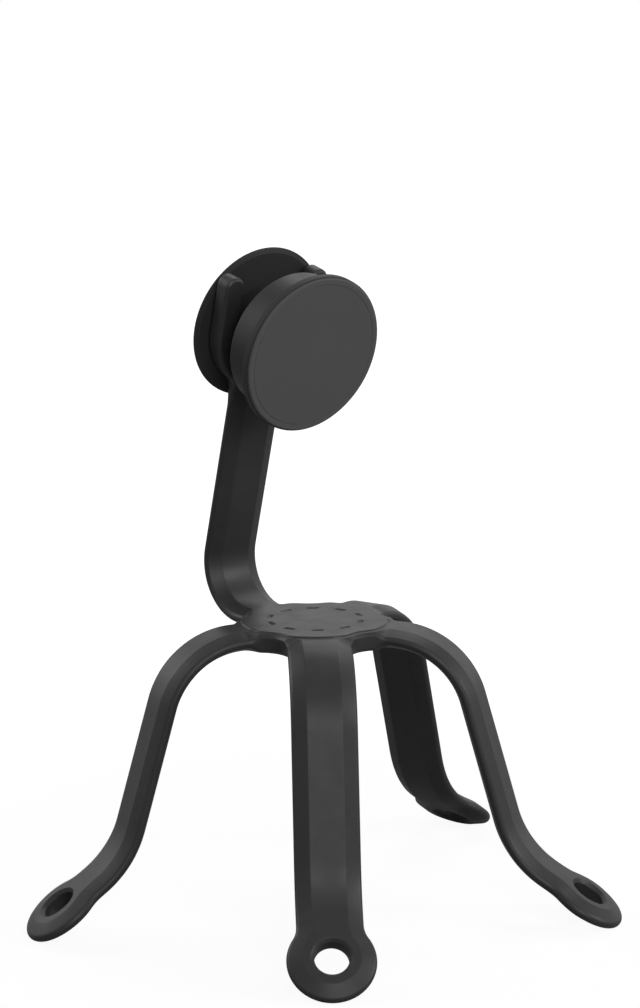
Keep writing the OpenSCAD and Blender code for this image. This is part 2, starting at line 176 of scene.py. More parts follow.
runs = {name: leg_run(name) for name in leg_slopes}
runs["neck"] = [
    (hub_edge + neck_straight, 0), (neck_r, 90 + neck_lean), (neck_l, 0),
    (head_flex_l, 0), (cradle_root, 0),
]
print("hip bends:", {name: round(-runs[name][1][1], 1) for name in leg_slopes})


def stations(run, first, last):
    """Stations from (stretch, share) to (stretch, share), about a millimetre apart."""
    places = []
    for n in range(first[0], last[0] + 1):
        start = first[1] if n == first[0] else 0.0
        end = last[1] if n == last[0] else 1.0
        size, turn = run[n]
        length = (size * math.radians(abs(turn)) if turn else size) * (end - start)
        steps = max(1, round(length))
        shares = [start + (end - start) * k / steps for k in range(steps + 1)]
        if n > first[0]:
            shares = shares[1:]
        places += [station(run, n, share) for share in shares]
    return places


# %% [markdown]
# ## Lines for edges
# A moulded edge is never sharp. Each profile below is a short line of points, given as
# (distance in from the edge, height), and every corner in it becomes a small arc, which
# is what catches the light. The arm's edge and the hub's wall have equally many points,
# so one can turn into the other along a hollow curve, as it does on the moulding. A line
# begins a little inside its first corner, so the flat beside that corner stays flat.

# %% Profiles
crease_r = 0.6
crease_lead = 0.6
wall_corner_r = 0.35
wall_lead = 0.4
crease_steps = 4
edge_steps = 6
corner_steps = 3


def corner(before, at, after, radius, steps):
    """The arc that rounds the corner at a point, as steps + 1 points."""
    back = (before - at).normalized()
    ahead = (after - at).normalized()
    half = back.angle(ahead) / 2
    centre = at + (back + ahead).normalized() * (radius / math.sin(half))
    first = at + back * (radius / math.tan(half)) - centre
    last = at + ahead * (radius / math.tan(half)) - centre
    turn = math.atan2(first.x * last.y - first.y * last.x, first.dot(last))
    return [centre + Matrix.Rotation(turn * k / steps, 2) @ first for k in range(steps + 1)]


def arm_edge():
    """Upper half of an arm's edge: flat band, rounded crease, shoulder, round edge."""
    reach = Vector((half_t, edge_r - shoulder_w))
    start = math.degrees(math.atan2(reach.y, reach.x) + math.acos(edge_r / reach.length))
    angles = [start + (90 - start) * k / edge_steps for k in range(edge_steps + 1)]
    edge = [Vector((edge_r - edge_r * sin(a), edge_r * cos(a))) for a in angles]
    top = Vector((shoulder_w + crease_lead, half_t))
    crease = corner(top, Vector((shoulder_w, half_t)), edge[0], crease_r, crease_steps)
    return [top] + crease + edge


def wall_edge(bevel):
    """Upper half of an upright wall with a bevel along its top."""
    top = Vector((bevel + wall_lead, half_t))
    upper = Vector((bevel, half_t))
    lower = Vector((0, half_t - bevel))
    foot = Vector((0, 0))
    line = corner(top, upper, lower, wall_corner_r, crease_steps)
    line += corner(upper, lower, foot, wall_corner_r, corner_steps)
    left = edge_steps - corner_steps
    return [top] + line + [line[-1].lerp(foot, k / left) for k in range(1, left + 1)]


def whole_edge(share=0.0, bevel=web_bevel):
    """An edge from its top to its underside, a share of the way from arm to wall."""
    upper = [a.lerp(b, share) for a, b in zip(arm_edge(), wall_edge(bevel))]
    lower = [Vector((p.x, -p.y)) for p in reversed(upper[:-1])]
    return upper + lower


band_steps = 16
band_half = half_w - arm_edge()[0].x


def band(height):
    """Points across the flat band, between its two ends."""
    shares = [2 * k / band_steps - 1 for k in range(1, band_steps)]
    return [(band_half * share, height) for share in shares]


def arm_section():
    """The whole section of an arm, as (side, up) points."""
    edge = whole_edge()
    right = [(half_w - p.x, p.y) for p in edge]
    left = [(p.x - half_w, p.y) for p in reversed(edge)]
    return right + band(-half_t)[::-1] + left + band(half_t)


print("points round an arm:", len(arm_section()))

# %% [markdown]
# ## From points to a mesh
# Every piece is made of grids of points and of a few flat faces. The class below keeps
# them, welds the grids where they meet and turns the normals outward. The end faces,
# where two pieces of the skin meet, are split off again after that, so that they don't
# pull on the smooth shading of the surface beside them.

# %% A form that grows
weld_distance = 0.0005 * MM


class Form:
    """Grids and flat faces that become one mesh."""

    def __init__(self):
        self.points = []
        self.faces = []
        self.ends = set()

    def grid(self, rows, wrap=False):
        start, width = len(self.points), len(rows[0])
        for row in rows:
            self.points += row
        for i in range(len(rows) - 1):
            for j in range(width if wrap else width - 1):
                a = start + i * width + j
                b = start + i * width + (j + 1) % width
                self.faces.append((a, b, b + width, a + width))

    def face(self, loop, end=False):
        start = len(self.points)
        self.points += loop
        if end:
            self.ends.add(len(self.faces))
        self.faces.append(tuple(range(start, start + len(loop))))

    def piece(self, name, material, slot):
        mesh = bpy.data.meshes.new(name)
        mesh.from_pydata([tuple(p) for p in self.points], [], self.faces)
        for polygon in mesh.polygons:
            polygon.use_smooth = polygon.index not in self.ends
        bm = bmesh.new()
        bm.from_mesh(mesh)
        bmesh.ops.remove_doubles(bm, verts=bm.verts, dist=weld_distance)
        bmesh.ops.recalc_face_normals(bm, faces=bm.faces)
        bmesh.ops.split(bm, geom=[f for f in bm.faces if not f.smooth])
        bm.to_mesh(mesh)
        bm.free()
        obj = bpy.data.objects.new(name, mesh)
        bpy.context.scene.collection.objects.link(obj)
        obj.data.materials.append(material)
        return obj


def sweep(form, azimuth, places, section):
    """Carries a section along the stations of an arm."""
    rows = [[on_arm(azimuth, p, side, up) for side, up in section] for p in places]
    form.grid(rows, wrap=True)
    return rows


# %% [markdown]
# ## Shader arithmetic
# A finish is a small graph of nodes. To keep it readable, a socket is wrapped in a class
# whose plus, minus and times add Math nodes, and one method makes every other node.

# %% Nodes as expressions
class Wire:
    """An output socket that can be used in a sum."""

    def __init__(self, graph, socket):
        self.graph = graph
        self.socket = socket

    def sum_with(self, operation, first, second):
        return self.graph.node("ShaderNodeMath", {"operation": operation}, {0: first, 1: second})

    def __add__(self, other):
        return self.sum_with("ADD", self, other)

    def __sub__(self, other):
        return self.sum_with("SUBTRACT", self, other)

    def __rsub__(self, other):
        return self.sum_with("SUBTRACT", other, self)

    def __mul__(self, other):
        return self.sum_with("MULTIPLY", self, other)

    __radd__ = __add__
    __rmul__ = __mul__


class Graph:
    """A node tree that is written from its sources to its output."""

    def __init__(self, tree):
        self.tree = tree
        tree.nodes.clear()

    def node(self, kind, settings=None, sockets=None, output=0):
        made = self.tree.nodes.new(kind)
        for key, value in (settings or {}).items():
            if key == "stops":
                for stop, (place, grey) in zip(made.color_ramp.elements, value):
                    stop.position = place
                    stop.color = (grey, grey, grey, 1)
            else:
                setattr(made, key, value)
        for key, value in (sockets or {}).items():
            if isinstance(value, Wire):
                self.tree.links.new(value.socket, made.inputs[key])
            else:
                made.inputs[key].default_value = value
        return Wire(self, made.outputs[output]) if made.outputs else None

    def places(self):
        return self.node("ShaderNodeTexCoord", output="Object")

    def noise(self, scale, detail=2, roughness=0.5):
        """Noise with about this many lumps to a metre."""
        sockets = {"Vector": self.places(), "Scale": scale, "Detail": detail}
        return self.node("ShaderNodeTexNoise", None, {**sockets, "Roughness": roughness})

    def ramp(self, value, low, high):
        stops = [(low, 0.0), (high, 1.0)]
        return self.node("ShaderNodeValToRGB", {"stops": stops}, {"Fac": value})

    def blend(self, share, first, second):
        """A colour between two, given as linear red, green and blue."""
        sockets = {0: share, 6: (*first, 1), 7: (*second, 1)}
        return self.node("ShaderNodeMix", {"data_type": "RGBA"}, sockets, output=2)

    def bump(self, height, depth, below=None):
        """A normal with this depth of relief, in metres."""
        sockets = {"Height": height, "Distance": depth, "Strength": 1.0}
        if below:
            sockets["Normal"] = below
        return self.node("ShaderNodeBump", None, sockets)

    def finish(self, shader):
        kind = "World" if self.tree == bpy.context.scene.world.node_tree else "Material"
        self.node("ShaderNodeOutput" + kind, None, {"Surface": shader})


def new_finish(name):
    material = bpy.data.materials.new(name)
    material.use_nodes = True
    return material, Graph(material.node_tree)


bpy.context.scene.world = bpy.data.worlds.new("studio")
bpy.context.scene.world.use_nodes = True

# %% [markdown]
# ## Silicone
# The skin is black silicone from a lightly blasted mould. It is nearly matt, with a soft
# grain of about a fifth of a millimetre, a slow mottling where the surface was handled,
# and a faint bloom that makes some patches a little lighter and rougher.

# %% Silicone
mottle_scale, bloom_scale, grain_scale = 45, 160, 4200
mottle_depth = 0.12 * MM


def silicone(name, dark, light, roughness, grain_depth):
    material, graph = new_finish(name)
    mottle = graph.noise(mottle_scale, detail=3)
    bloom = graph.ramp(graph.noise(bloom_scale, detail=4), 0.45, 0.75)
    grain = graph.noise(grain_scale, detail=2)
    share = mottle * 0.7 + bloom * 0.3
    shader = graph.node("ShaderNodeBsdfPrincipled", None, {
        "Base Color": graph.blend(share, dark, light),
        "Roughness": roughness + 0.1 * bloom - 0.06 * mottle + 0.04 * grain,
        "Specular IOR Level": 0.18,
        "Normal": graph.bump(grain, grain_depth, graph.bump(mottle, mottle_depth)),
    })
    graph.finish(shader)
    return material


skin = silicone("silicone_skin", (0.018, 0.018, 0.019), (0.028, 0.028, 0.029), 0.42, 0.012 * MM)
# The bellows get a darker copy of the skin's silicone: painted shade for the deep shade between
# the base and the button.
bellows_painted_shade_skin = silicone(
    "bellows_elastomer_painted_shade", (0.009, 0.009, 0.010), (0.013, 0.013, 0.014), 0.46, 0.006 * MM
)
print("finishes:", skin.name, bellows_painted_shade_skin.name)

# %% [markdown]
# ## Moulded plastic
# The grip's plates are polycarbonate with the fine, even texture of spark erosion. The
# face insert is the same plastic with a soft-touch paint, which fills the texture and is
# paler and more matt. The base, the collar and the button's sides are a much darker grey:
# that is painted shade, for the shade under the button and beside the fork. A plane
# across the grip's axis parts the button's front from its sides: a point that lies beyond
# it along the axis takes the face's paler grey.

# %% Plastic
def plastic(name, colour, roughness, texture_depth, texture_scale, front=None):
    """Textured plastic. Front is the colour, place and direction of a painted side."""
    material, graph = new_finish(name)
    texture = graph.noise(texture_scale, detail=1)
    mottle = graph.noise(70, detail=2)
    darker = tuple(0.93 * c for c in colour)
    tone = graph.blend(mottle, darker, colour)
    if front:
        paint, place, direction = front
        ahead = graph.node("ShaderNodeVectorMath", {"operation": "DOT_PRODUCT"}, {
            0: graph.places(), 1: direction,
        }, output="Value")
        level = place.dot(direction)
        share = graph.node("ShaderNodeMapRange", None, {
            "Value": ahead, "From Min": level - 0.1 * MM, "From Max": level + 0.1 * MM,
        })
        tone = graph.node("ShaderNodeMix", {"data_type": "RGBA"}, {
            0: share, 6: tone, 7: (*paint, 1),
        }, output=2)
    shader = graph.node("ShaderNodeBsdfPrincipled", None, {
        "Base Color": tone,
        "Roughness": roughness + 0.08 * mottle + 0.05 * texture,
        "Specular IOR Level": 0.12,
        "Normal": graph.bump(texture, texture_depth),
    })
    graph.finish(shader)
    return material


# The dark grey of the base and the collar is painted shade: they lie in the shade of the button
# and the fork.
grip_plastic_painted_shade = plastic("grip_plastic_painted_shade", (0.022, 0.022, 0.023), 0.45, 0.006 * MM, 5200)
paint_grey = (0.06, 0.06, 0.06)
face_paint = plastic("face_paint", paint_grey, 0.62, 0.003 * MM, 6500)
core_plastic = plastic("core_plastic", (0.020, 0.020, 0.021), 0.45, 0.004 * MM, 3000)
print("finishes:", grip_plastic_painted_shade.name, face_paint.name, core_plastic.name)

# %% [markdown]
# ## Gel and steel
# The pad is a clear-white gel, tacky and slightly glossy, with fine bubbles. The wires
# are soft drawn steel. They are two millimetres thick, so a fine noise is enough for the
# scratches: it varies the colour, the polish and the relief together.

# %% Gel and steel
def gel():
    material, graph = new_finish("pad_gel")
    cells = graph.node(
        "ShaderNodeTexVoronoi", None, {"Vector": graph.places(), "Scale": 900}
    )
    bubbles = graph.ramp(cells, 0.05, 0.3)
    shader = graph.node("ShaderNodeBsdfPrincipled", None, {
        "Base Color": graph.blend(bubbles, (0.78, 0.79, 0.80), (0.68, 0.69, 0.70)),
        "Roughness": 0.22 + 0.12 * bubbles,
        "Subsurface Weight": 0.15,
        "Subsurface Scale": 1.0 * MM,
        "Normal": graph.bump(bubbles, 0.02 * MM),
    })
    graph.finish(shader)
    return material


def drawn_steel():
    material, graph = new_finish("drawn_steel")
    scratches = graph.noise(2600, detail=3, roughness=0.7)
    shader = graph.node("ShaderNodeBsdfPrincipled", None, {
        "Base Color": graph.blend(scratches, (0.42, 0.42, 0.43), (0.58, 0.58, 0.59)),
        "Metallic": 1.0,
        "Roughness": 0.28 + 0.18 * scratches,
        "Normal": graph.bump(scratches, 0.01 * MM),
    })
    graph.finish(shader)
    return material


pad_gel = gel()
steel = drawn_steel()

# %% [markdown]
# ## The hub
# Between two arms the moulding has a hollow wall, and on top lies a raised field with a
# ring of dimples. The walls are strips that follow the five hollow curves: near an arm
# their profile is the arm's own edge, and past it the upright wall. The top inside them
# is a fine polar grid whose height is a formula of the place: the field's rim and the
# dimples are read from distances, which needs no cutting and leaves no ragged edges.

# %% Relief on the hub's top
rim_fade = 26
wall_steps = 48
field_r = hub_edge - rim_margin
field_edge_w = 0.5
field_corner_r = 1.2
dimple_slope_w = 0.5


def smooth(share):
    """A soft step from 0 to 1."""
    share = min(1.0, max(0.0, share))
    return share * share * (3 - 2 * share)


def web_centre(i):
    """The centre of the hollow curve after arm i, seen from the hub's axis."""
    azimuth = 90 + arm_step * (i + 0.5)
    return Vector((web_dist * cos(azimuth), web_dist * sin(azimuth)))


def depth_in_field(p):
    """How far a point lies inside the raised field's outline."""
    from_centres = min((p - web_centre(i)).length for i in range(arm_count))
    from_webs = from_centres - web_r - field_margin
    from_rim = field_r - p.length
    near = max(0.0, 1 - abs(from_webs - from_rim) / field_corner_r)
    return min(from_webs, from_rim) - field_corner_r * near * near / 4


def depth_of_dimple(p):
    """How deep the nearest dimple of the ring is at a point."""
    step = 360 / dimple_count
    azimuth = math.degrees(math.atan2(p.y, p.x)) % step - step / 2
    along, out = p.length * sin(azimuth), p.length * cos(azimuth) - dimple_ring_r
    beyond = max(0.0, abs(along) - (dimple_l - dimple_w) / 2)
    inside = dimple_w / 2 - math.hypot(beyond, out)
    return dimple_d * smooth(inside / dimple_slope_w)


def top_height(p):
    raised = smooth(depth_in_field(p) / field_edge_w + 0.5)
    return half_t + field_h * raised - depth_of_dimple(p)


# %% Hub mesh
def on_hub(p, height):
    return (hub_place + Vector((p.x, p.y, height))) * MM


def wall_strip(i):
    """Rows of points across the hollow wall after arm i."""
    centre = web_centre(i)
    inward = 90 + arm_step * (i + 0.5) + 180
    half_turn = 90 - arm_step / 2
    rows = []
    for k in range(wall_steps + 1):
        angle = half_turn * (1 - 2 * k / wall_steps)
        from_arm = half_turn - abs(angle)
        normal = Vector((cos(inward + angle), sin(inward + angle)))
        edge = whole_edge(smooth(from_arm / rim_fade))
        rows.append([(centre + normal * (web_r + q.x), q.y) for q in edge])
    return rows


def arm_band(i, height):
    """Points across the band where arm i leaves the hub."""
    azimuth = 90 + arm_step * i
    out = Vector((cos(azimuth), sin(azimuth)))
    across = Vector((-out.y, out.x))
    return [(out * hub_edge + across * side, height) for side, up in band(height)]


def hub_skin():
    form = Form()
    top, under = [], []
    for i in range(arm_count):
        rows = wall_strip(i)
        form.grid([[on_hub(p, v) for p, v in row] for row in rows])
        top += [row[0][0] for row in rows] + [p for p, v in arm_band(i + 1, half_t)]
        under += [row[-1][0] for row in rows] + [p for p, v in arm_band(i + 1, -half_t)]
    fine_w, fine_step, coarse_steps, core_r = 4.0, 0.15, 60, 1.0
    fine = [fine_step * k for k in range(round(fine_w / fine_step) + 1)]
    rings = [[p * (1 - w / p.length) for p in top] for w in fine]
    for k in range(1, coarse_steps + 1):
        radii = [p.length + (core_r - p.length) * k / coarse_steps for p in rings[len(fine) - 1]]
        rings.append([p.normalized() * r for p, r in zip(top, radii)])
    heights = [[on_hub(p, top_height(p)) for p in ring] for ring in rings]
    heights[0] = [on_hub(p, half_t) for p in top]
    form.grid(heights, wrap=True)
    form.face(heights[-1])
    form.face([on_hub(p, -half_t) for p in under])
    for name, azimuth in arm_azimuths.items():
        end = (hub_edge, 0, 0)
        form.face([on_arm(azimuth, end, side, up) for side, up in arm_section()], end=True)
    return form.piece("hub_skin_moulding", skin, "skin")


hub = hub_skin()
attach(hub, "hub")
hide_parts("hub_skin")
print("hub:", len(hub.data.polygons), "faces")

# %% [markdown]
# ## A plate with a moulded edge
# A foot and the fork are flat plates at the end of an arm. Each is drawn by its outline,
# walked from one side of the arm round to the other, with the direction into the
# material at every point. The edge's profile is laid along that walk.

# %% Outlines
def walk_arc(centre, radius, start, end, hollow, step=4):
    """Points on an arc and the direction into the material."""
    count = max(2, round(abs(end - start) / step))
    walk = []
    for k in range(count + 1):
        angle = start + (end - start) * k / count
        out = Vector((cos(angle), sin(angle)))
        walk.append((Vector(centre) + out * radius, out if hollow else -out))
    return walk


def mirrored(walk):
    """A walk along one side, carried on along the other side back to its start."""
    def flip(v):
        return Vector((v.x, -v.y))

    return walk + [(flip(p), flip(n)) for p, n in reversed(walk)]


def without_repeats(walk):
    kept = walk[:1]
    for p, n in walk[1:]:
        if (p - kept[-1][0]).length > 0.001:
            kept.append((p, n))
    return kept


def plate_edge(form, walk, place_at, share_at=lambda p: 0.0, bevel=web_bevel):
    """Lays the edge's profile along a walk. Returns the rows as (point, height)."""
    rows = []
    for p, n in walk:
        rows.append([(p + n * q.x, q.y) for q in whole_edge(share_at(p), bevel)])
    form.grid([[place_at(p, v) for p, v in row] for row in rows])
    return rows


# %% [markdown]
# ## Feet
# A foot widens in two hollow curves to a round end with an eyelet. The crease between
# the band and the shoulder runs round the eyelet as a circle, which is the line that
# shows there. The eyelet's hole is one more profile: a bevel, a wall, a bevel.

# %% Foot mesh
flare_y = half_w + flare_r
flare_x = math.sqrt((foot_r + flare_r) ** 2 - flare_y**2)
hole_corner_r = 0.25
hole_lead = 0.15
foot_flat_steps = 3


def foot_walk():
    """From the arm's side to the middle of the round end, and back on the other side."""
    lean = math.degrees(math.atan2(flare_y, flare_x))
    side = [(Vector((-foot_l, half_w)), Vector((0, -1)))]
    flare = walk_arc((-flare_x, flare_y), flare_r, -90, -lean, hollow=True)
    end = walk_arc((0, 0), foot_r, 180 - lean, 0, hollow=False)
    return without_repeats(mirrored(side + flare + end))


def hole_line():
    """The eyelet's profile from the top face to the underside, as (radius, height)."""
    outer = Vector((eyelet_r + eyelet_bevel, half_t))
    inner = Vector((eyelet_r, half_t - eyelet_bevel))
    away = outer + Vector((1, 0))
    line = [outer + Vector((hole_lead, 0))]
    line += corner(away, outer, inner, hole_corner_r, corner_steps)
    line += corner(outer, inner, Vector((eyelet_r, 0)), hole_corner_r, corner_steps)
    return line + [Vector((p.x, -p.y)) for p in reversed(line)]


def add_foot(form, azimuth, run):
    eyelet = station(run, 4, 1.0)

    def place_at(p, height):
        return on_arm(azimuth, moved(eyelet, p.x), p.y, height)

    rows = plate_edge(form, foot_walk(), place_at)
    line = hole_line()
    crossing = [Vector((-foot_l, side)) for side, up in band(0)]
    rim = [row[0][0] for row in rows] + crossing
    inward = [k / foot_flat_steps for k in range(foot_flat_steps + 1)]
    rings = []
    for share in inward:
        rings.append([(p.lerp(p.normalized() * line[0].x, share), half_t) for p in rim])
    rings += [[(p.normalized() * q.x, q.y) for p in rim] for q in line[1:]]
    for share in inward[1:]:
        rings.append([(p.lerp(p.normalized() * line[0].x, 1 - share), -half_t) for p in rim])
    form.grid([[place_at(p, v) for p, v in ring] for ring in rings], wrap=True)


# %% [markdown]
# ## Legs
# On the bench a leg is one bendable strip with two wires in it. Here it has two pieces
# that meet in the straight shank: the upper one holds the bend between the hub and the
# shank, the lower one the bend between the shank and the foot. They share the ring where
# they meet, and both are straight there, so no seam shows.

# %% Bending pieces
shank_seam = (2, 0.5)
bend_margin = 0.08


def bend_across(piece, azimuth, run, n):
    """Fixes a piece's place into its mesh. The points near both ends of stretch n are found but
    not used.
    """
    start = on_arm(azimuth, station(run, n, bend_margin), 0, 0)
    end = on_arm(azimuth, station(run, n, 1 - bend_margin), 0, 0)
    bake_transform(piece)


def wire_section(side):
    count = 12
    return [
        (side * wire_offset + wire_r * sin(360 * k / count), wire_r * cos(360 * k / count))
        for k in range(count)
    ]


def wire_pair(name, azimuth, places):
    form = Form()
    for side in (-1, 1):
        rows = sweep(form, azimuth, places, wire_section(side))
        form.face(rows[0], end=True)
        form.face(rows[-1], end=True)
    return form.piece(name, steel, "wire")


def leg(name):
    azimuth, run = arm_azimuths[name], runs[name]
    shank, foot = name + "_shank", name + "_foot"

    upper = Form()
    rows = sweep(upper, azimuth, stations(run, (1, 0.0), shank_seam), arm_section())
    upper.face(rows[0], end=True)
    upper.face(rows[-1], end=True)
    upper_piece = upper.piece(name + "_upper_leg", skin, "skin")
    bend_across(upper_piece, azimuth, run, 1)
    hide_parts(name + "_hip", shank)

    lower = Form()
    rows = sweep(lower, azimuth, stations(run, shank_seam, (3, 1.0)), arm_section())
    lower.face(rows[0], end=True)
    add_foot(lower, azimuth, run)
    lower_piece = lower.piece(name + "_lower_leg", skin, "skin")
    bend_across(lower_piece, azimuth, run, 3)
    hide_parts(name + "_ankle", foot)

    start = [(wire_start, 0, 0)]
    to_seam = stations(run, (1, 0.0), shank_seam)
    past_seam = stations(run, shank_seam, (3, 1.0))
    seat = [station(run, 4, foot_seat / foot_l)]
    upper_wires = wire_pair(name + "_upper_wires", azimuth, start + to_seam)
    bend_across(upper_wires, azimuth, run, 1)
    lower_wires = wire_pair(name + "_lower_wires", azimuth, past_seam + seat)
    bend_across(lower_wires, azimuth, run, 3)
    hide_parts(name + "_wires")
    return len(upper_piece.data.polygons) + len(lower_piece.data.polygons)


for name in leg_slopes:
    print(name, "leg:", leg(name), "faces")

# %% [markdown]
# ## Neck and fork
# The neck is a fifth arm that turns upward and leans back over the hub. It flows into a
# fork with upright walls: along the two hollow curves the arm's edge turns into the
# fork's bevelled wall, as the hub's does. The fork's faces are flat, so one many-sided
# face closes each of them.

# %% Neck and fork
neck_azimuth, neck_run = arm_azimuths["neck"], runs["neck"]
grip_place = station(neck_run, 4, 1.0)
stem_seam = (2, 0.5)
fork_fillet_x = half_w + cradle_fillet_r
fork_fillet_y = math.sqrt((cradle_r + cradle_fillet_r) ** 2 - fork_fillet_x**2)
prong_half = (cradle_r - slot_r) / 2
prong_mid = slot_r + prong_half
tip_y = prong_h - prong_half


def fork_walk():
    """Round one half of the fork and back round the other. Along the neck is +x."""
    lean = math.degrees(math.atan2(fork_fillet_y, fork_fillet_x))
    walk = [(Vector((-cradle_root, half_w)), Vector((0, -1)))]
    walk += walk_arc(
        (-fork_fillet_y, fork_fillet_x), cradle_fillet_r, -90, lean - 90, hollow=True, step=3
    )
    walk += walk_arc((0, 0), cradle_r, 90 + lean, 90, hollow=False, step=3)
    walk += walk_arc((tip_y, prong_mid), prong_half, 90, -90, hollow=False, step=9)
    walk += walk_arc((0, 0), slot_r, 90, 180, hollow=True, step=3)
    return without_repeats(mirrored(walk))


def fork_share(p):
    """0 on the neck, 1 where the fork's upright wall begins."""
    wall_start = fork_fillet_y * cradle_r / (cradle_r + cradle_fillet_r)
    return smooth((p.x + cradle_root) / (cradle_root - wall_start))


def add_fork(form):
    def place_at(p, height):
        return on_arm(neck_azimuth, moved(grip_place, p.x), p.y, height)

    rows = plate_edge(form, fork_walk(), place_at, fork_share, cradle_bevel)
    crossing = [Vector((-cradle_root, side)) for side, up in band(0)]
    for index, height in ((0, half_t), (-1, -half_t)):
        rim = [row[index][0] for row in rows] + crossing
        form.face([place_at(p, height) for p in rim])


def neck():
    lower = Form()
    straight = [(hub_edge, 0, 0), (hub_edge + neck_straight / 2, 0, 0)]
    places = straight + stations(neck_run, (1, 0.0), stem_seam)
    rows = sweep(lower, neck_azimuth, places, arm_section())
    lower.face(rows[0], end=True)
    lower.face(rows[-1], end=True)
    root = lower.piece("neck_root_skin", skin, "skin")
    bend_across(root, neck_azimuth, neck_run, 1)
    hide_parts("neck_root", "neck_stem")

    upper = Form()
    places = stations(neck_run, stem_seam, (3, 1.0))
    rows = sweep(upper, neck_azimuth, places, arm_section())
    upper.face(rows[0], end=True)
    add_fork(upper)
    fork = upper.piece("neck_head_and_fork", skin, "skin")
    bend_across(fork, neck_azimuth, neck_run, 3)
    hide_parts("neck_head", "cradle")

    start = [(wire_start, 0, 0)]
    to_seam = stations(neck_run, (1, 0.0), stem_seam)
    root_wires = wire_pair("neck_root_wires", neck_azimuth, start + to_seam)
    bend_across(root_wires, neck_azimuth, neck_run, 1)
    seat = [station(neck_run, 4, cradle_seat / cradle_root)]
    head_wires = wire_pair("neck_head_wires", neck_azimuth, places + seat)
    bend_across(head_wires, neck_azimuth, neck_run, 3)
    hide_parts("neck_wires")
    return root, fork


for part in neck():
    print(part.name, len(part.data.polygons), "faces")

# %% [markdown]
# ## The grip
# The grip is turned work: every piece is a profile spun round one axis. The base lies on
# the pad, the collar turns in it and slides in the fork, the bellows folds like a cup,
# and the button closes it with a face insert in its rim. Real turned and moulded edges
# have radii of a few tenths, and here each corner of a profile names its own.

# %% Turned pieces
pad_r, pad_t, base_r, base_t, base_bevel = 17.4, 0.5, 18.5, 1.2, 1.2
cradle_gap, slot_gap, spigot_gap, seat_gap = 0.3, 0.4, 0.06, 0.04
collar_wall, flange_t, flange_w = 1.6, 0.9, 1.5
bellows_wall, fold_r, bellows_r, fold_slope, fold_rise = 0.8, 13.4, 16.6, 1.5, 2
grip_h, button_r, button_t, button_bevel, rim_w, face_t = 23, 19.1, 2.8, 0.6, 1.8, 0.9

base_top = pad_t + base_t
cradle_low = base_top + cradle_gap
cradle_mid = cradle_low + half_t
flange_low = cradle_low + arm_t + cradle_gap
collar_top = flange_low + flange_t
button_back = grip_h - button_t
collar_r = slot_r - slot_gap
bore_r = collar_r - collar_wall
spigot_r = collar_r - collar_wall / 2
face_r = button_r - rim_w
turn_steps = 160
lead = 0.04


def in_grip(x, y, z):
    """A point in the grip's own frame: z runs from the pad to the button."""
    return on_arm(neck_azimuth, moved(grip_place, y), x, z - cradle_mid)


def rounded(corners, closed):
    """A line through (radius, height, rounding) corners with every corner rounded.

    A short lead beside each arc keeps the flat next to it looking flat.
    """
    line = []
    count = len(corners)
    for i, (r, z, rounding) in enumerate(corners):
        at = Vector((r, z))
        if not closed and i in (0, count - 1):
            line.append(at)
            continue
        before = Vector(corners[i - 1][:2])
        after = Vector(corners[(i + 1) % count][:2])
        arc = corner(before, at, after, rounding, corner_steps)
        line.append(arc[0] + (before - at).normalized() * lead)
        line += arc
        line.append(arc[-1] + (after - at).normalized() * lead)
    return line + line[:1] if closed else line


def turned(name, corners, material, slot, closed=True):
    form = Form()
    line = rounded(corners, closed)
    rows = []
    for k in range(turn_steps + 1):
        angle = 360 * k / turn_steps
        rows.append([in_grip(p.x * cos(angle), p.x * sin(angle), p.y) for p in line])
    form.grid(rows)
    return form.piece(name, material, slot)


# %% Pad, base and collar
edge, fine_edge = 0.18, 0.08
pad = turned("adhesive_pad", [
    (0, 0, 0), (pad_r, 0, fine_edge), (pad_r, pad_t, fine_edge), (0, pad_t, 0),
], pad_gel, "pad", closed=False)
socket_r = spigot_r + spigot_gap
step = base_t / 3
base = turned("base_plate", [
    (socket_r, pad_t, fine_edge), (base_r - step, pad_t, edge), (base_r, pad_t + step, edge),
    (base_r, pad_t + 2 * step, edge), (base_r - base_bevel, base_top, edge),
    (socket_r, base_top, fine_edge),
], grip_plastic_painted_shade, "grip")
collar = turned("collar", [
    (bore_r, pad_t + seat_gap, fine_edge), (spigot_r, pad_t + seat_gap, fine_edge),
    (spigot_r, base_top + seat_gap, fine_edge), (collar_r, base_top + seat_gap, fine_edge),
    (collar_r, flange_low, fine_edge), (collar_r + flange_w, flange_low, edge),
    (collar_r + flange_w, collar_top, edge), (bore_r, collar_top, fine_edge),
], grip_plastic_painted_shade, "grip")
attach(pad, "grip_base")
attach(base, "grip_base")
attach(collar, "grip_collar")
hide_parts("grip_pad")
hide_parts("grip_base")
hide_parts("grip_collar")

# %% Bellows
fold_rounding, brim_rounding, inner_rounding = 0.5, 0.6, 0.4
fold_low = collar_top + fold_slope
fold_high = fold_low + fold_rise
brim_low = fold_high + fold_slope
w = bellows_wall
bellows = turned("bellows", [
    (bore_r, collar_top, fine_edge), (collar_r, collar_top, edge),
    (fold_r, fold_low, fold_rounding), (fold_r, fold_high, fold_rounding),
    (bellows_r, brim_low, brim_rounding), (bellows_r, button_back, fine_edge),
    (bellows_r - w, button_back, fine_edge), (bellows_r - w, brim_low + w, inner_rounding),
    (fold_r - w, fold_high + w, fold_rounding), (fold_r - w, fold_low + w, inner_rounding),
    (collar_r - w, collar_top + w, edge), (bore_r, collar_top + w, fine_edge),
], bellows_painted_shade_skin, "bellows")
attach(bellows, "grip_collar")
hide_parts("grip_bellows")
press = hinges["grip_collapse"]
folded_share = 1 - press["range_m"][1] / MM / (button_back - collar_top)
in_grip(0, 0, 1) - in_grip(0, 0, 0)
in_grip(0, 0, collar_top)
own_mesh(bellows)
print("bellows fold to", round(folded_share, 2), "of their height")

